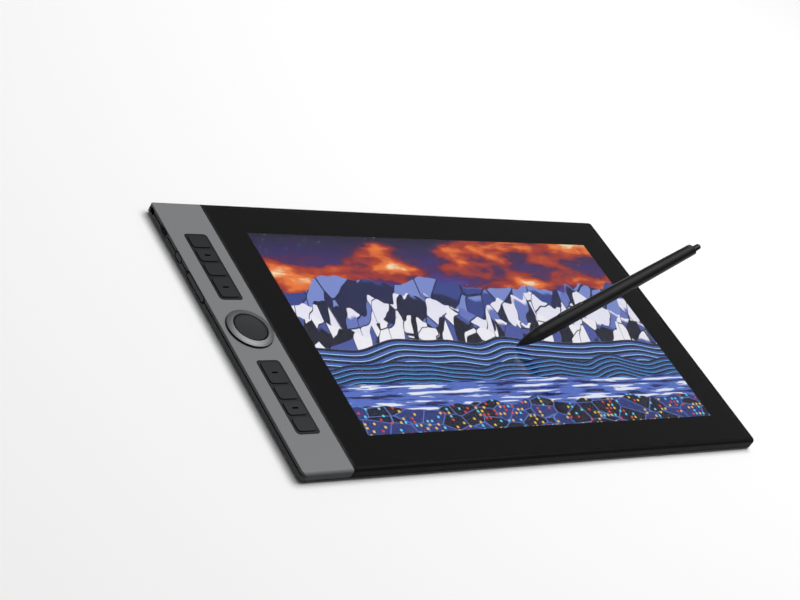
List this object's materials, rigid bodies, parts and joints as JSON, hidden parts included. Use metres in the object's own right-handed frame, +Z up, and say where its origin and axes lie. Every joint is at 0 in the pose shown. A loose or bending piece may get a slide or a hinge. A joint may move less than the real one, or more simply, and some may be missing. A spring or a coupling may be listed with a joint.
{
  "type": "graphics tablet with screen",
  "caption": "Thin drawing tablet with a built-in screen, a metal key strip with a turning dial along its left end, ports and side buttons on the end wall, and a pressure stylus.",
  "frame": {"origin": "middle of the plane that the rubber strips stand on", "axes": "+X right along the long side, away from the key strip; +Y to the back edge, away from the user; +Z up out of the screen"},
  "size_m": [0.443, 0.252, 0.1115],
  "materials": {
    "panel_metal": "fine blasted satin",
    "cover_metal": "fine blasted satin",
    "frame_plastic": "fine matte",
    "front_glass": "satin etched",
    "border_ink": "black print",
    "adhesive_tape": "black foam",
    "clear_adhesive": "clear",
    "display_glass": "smooth",
    "frame_tape": "black film",
    "white_film": "white film",
    "clear_plastic": "clear acrylic",
    "led_strip": "white board with yellow lenses",
    "tray_steel": "plated sheet",
    "sensor_board": "solder mask",
    "shield_metal": "mill finish",
    "green_board": "solder mask",
    "chip_plastic": "moulded",
    "switch_steel": "plated",
    "port_plastic": "moulded",
    "surround_plastic": "satin",
    "key_plastic": "satin",
    "dial_metal": "turned satin",
    "disc_plastic": "satin",
    "side_key_metal": "fine blasted satin",
    "flex_film": "polyimide film",
    "foot_rubber": "matte",
    "screw_steel": "plated",
    "pen_plastic": "soft touch",
    "nib_plastic": "hard polymer",
    "pen_rocker_plastic": "satin",
    "coil_copper": "enamelled wire"
  },
  "bodies": {
    "tablet": {"rear_cover": "cover_metal", "key_panel": "panel_metal", "front_frame": "frame_plastic", "cover_glass": "front_glass", "ink_border": "border_ink", "glass_tape": "adhesive_tape", "optical_adhesive": "clear_adhesive", "lcd_cell": "display_glass", "display_frame": "frame_tape", "diffuser_sheets": "white_film", "light_guide": "clear_plastic", "reflector_sheet": "white_film", "led_bar": "led_strip", "backlight_tray": "tray_steel", "digitizer_board": "sensor_board", "shield_sheet": "shield_metal", "chassis_plate": "shield_metal", "main_board": "green_board", "shield_can": "tray_steel", "board_chips": "chip_plastic", "key_board": "green_board", "board_connector": "chip_plastic", "dome_switches": "switch_steel", "side_switch_board": "green_board", "side_switches": "switch_steel", "key_surround_back": "surround_plastic", "key_surround_front": "surround_plastic", "dial_base": "disc_plastic", "dial_disc": "disc_plastic", "usb_bezel": "port_plastic", "usb_socket": "switch_steel", "usb_tongue": "chip_plastic", "power_inlet": "port_plastic", "digitizer_flex": "flex_film", "display_flex": "flex_film", "rubber_strip_back": "foot_rubber", "rubber_strip_front": "foot_rubber", "cover_screws": "screw_steel", "frame_screws": "screw_steel", "board_screws": "screw_steel"},
    "key_1": {"key_1": "key_plastic"},
    "key_2": {"key_2": "key_plastic"},
    "key_3": {"key_3": "key_plastic"},
    "key_4": {"key_4": "key_plastic"},
    "key_5": {"key_5": "key_plastic"},
    "key_6": {"key_6": "key_plastic"},
    "key_7": {"key_7": "key_plastic"},
    "key_8": {"key_8": "key_plastic"},
    "dial": {"dial_ring": "dial_metal"},
    "power_button": {"power_button": "side_key_metal"},
    "brightness_rocker": {"brightness_rocker": "side_key_metal"},
    "stylus": {"pen_nose": "pen_plastic", "pen_front_shell": "pen_plastic", "pen_barrel": "pen_plastic", "pen_tail": "pen_plastic", "pen_coil": "coil_copper", "pen_board": "green_board"},
    "pen_nib": {"pen_nib": "nib_plastic"},
    "pen_rocker": {"pen_rocker": "pen_rocker_plastic"}
  },
  "joints": [
    {"name": "key_1_press", "type": "slide", "parent": "tablet", "child": "key_1", "axis": [0, 0, -1], "range_m": [0, 0.0006], "stiffness_N_per_m": 800},
    {"name": "key_2_press", "type": "slide", "parent": "tablet", "child": "key_2", "axis": [0, 0, -1], "range_m": [0, 0.0006], "stiffness_N_per_m": 800},
    {"name": "key_3_press", "type": "slide", "parent": "tablet", "child": "key_3", "axis": [0, 0, -1], "range_m": [0, 0.0006], "stiffness_N_per_m": 800},
    {"name": "key_4_press", "type": "slide", "parent": "tablet", "child": "key_4", "axis": [0, 0, -1], "range_m": [0, 0.0006], "stiffness_N_per_m": 800},
    {"name": "key_5_press", "type": "slide", "parent": "tablet", "child": "key_5", "axis": [0, 0, -1], "range_m": [0, 0.0006], "stiffness_N_per_m": 800},
    {"name": "key_6_press", "type": "slide", "parent": "tablet", "child": "key_6", "axis": [0, 0, -1], "range_m": [0, 0.0006], "stiffness_N_per_m": 800},
    {"name": "key_7_press", "type": "slide", "parent": "tablet", "child": "key_7", "axis": [0, 0, -1], "range_m": [0, 0.0006], "stiffness_N_per_m": 800},
    {"name": "key_8_press", "type": "slide", "parent": "tablet", "child": "key_8", "axis": [0, 0, -1], "range_m": [0, 0.0006], "stiffness_N_per_m": 800},
    {"name": "dial_spin", "type": "hinge", "parent": "tablet", "child": "dial", "pos_m": [-0.2002, -0.0005, 0.01], "axis": [0, 0, 1], "continuous": true},
    {"name": "power_press", "type": "slide", "parent": "tablet", "child": "power_button", "axis": [1, 0, 0], "range_m": [0, 0.0004], "stiffness_N_per_m": 800},
    {"name": "brightness_tip", "type": "hinge", "parent": "tablet", "child": "brightness_rocker", "pos_m": [-0.2195, 0.0428, 0.0068], "axis": [0, 0, 1], "range_deg": [-1.5, 1.5], "stiffness_Nm_per_rad": 0.5},
    {"name": "stylus_lift", "type": "slide", "parent": "tablet", "child": "stylus", "axis": [0, 0, 1], "range_m": [0, 0.15]},
    {"name": "nib_press", "type": "slide", "parent": "stylus", "child": "pen_nib", "axis": [0.7944, 0.0496, 0.6054], "range_m": [0, 0.001], "stiffness_N_per_m": 500},
    {"name": "pen_rocker_tip", "type": "hinge", "parent": "stylus", "child": "pen_rocker", "pos_m": [0.07045, -0.01592, 0.04273], "axis": [0.2674, 0.8664, -0.4218], "range_deg": [-2, 2], "stiffness_Nm_per_rad": 0.3}
  ]
}
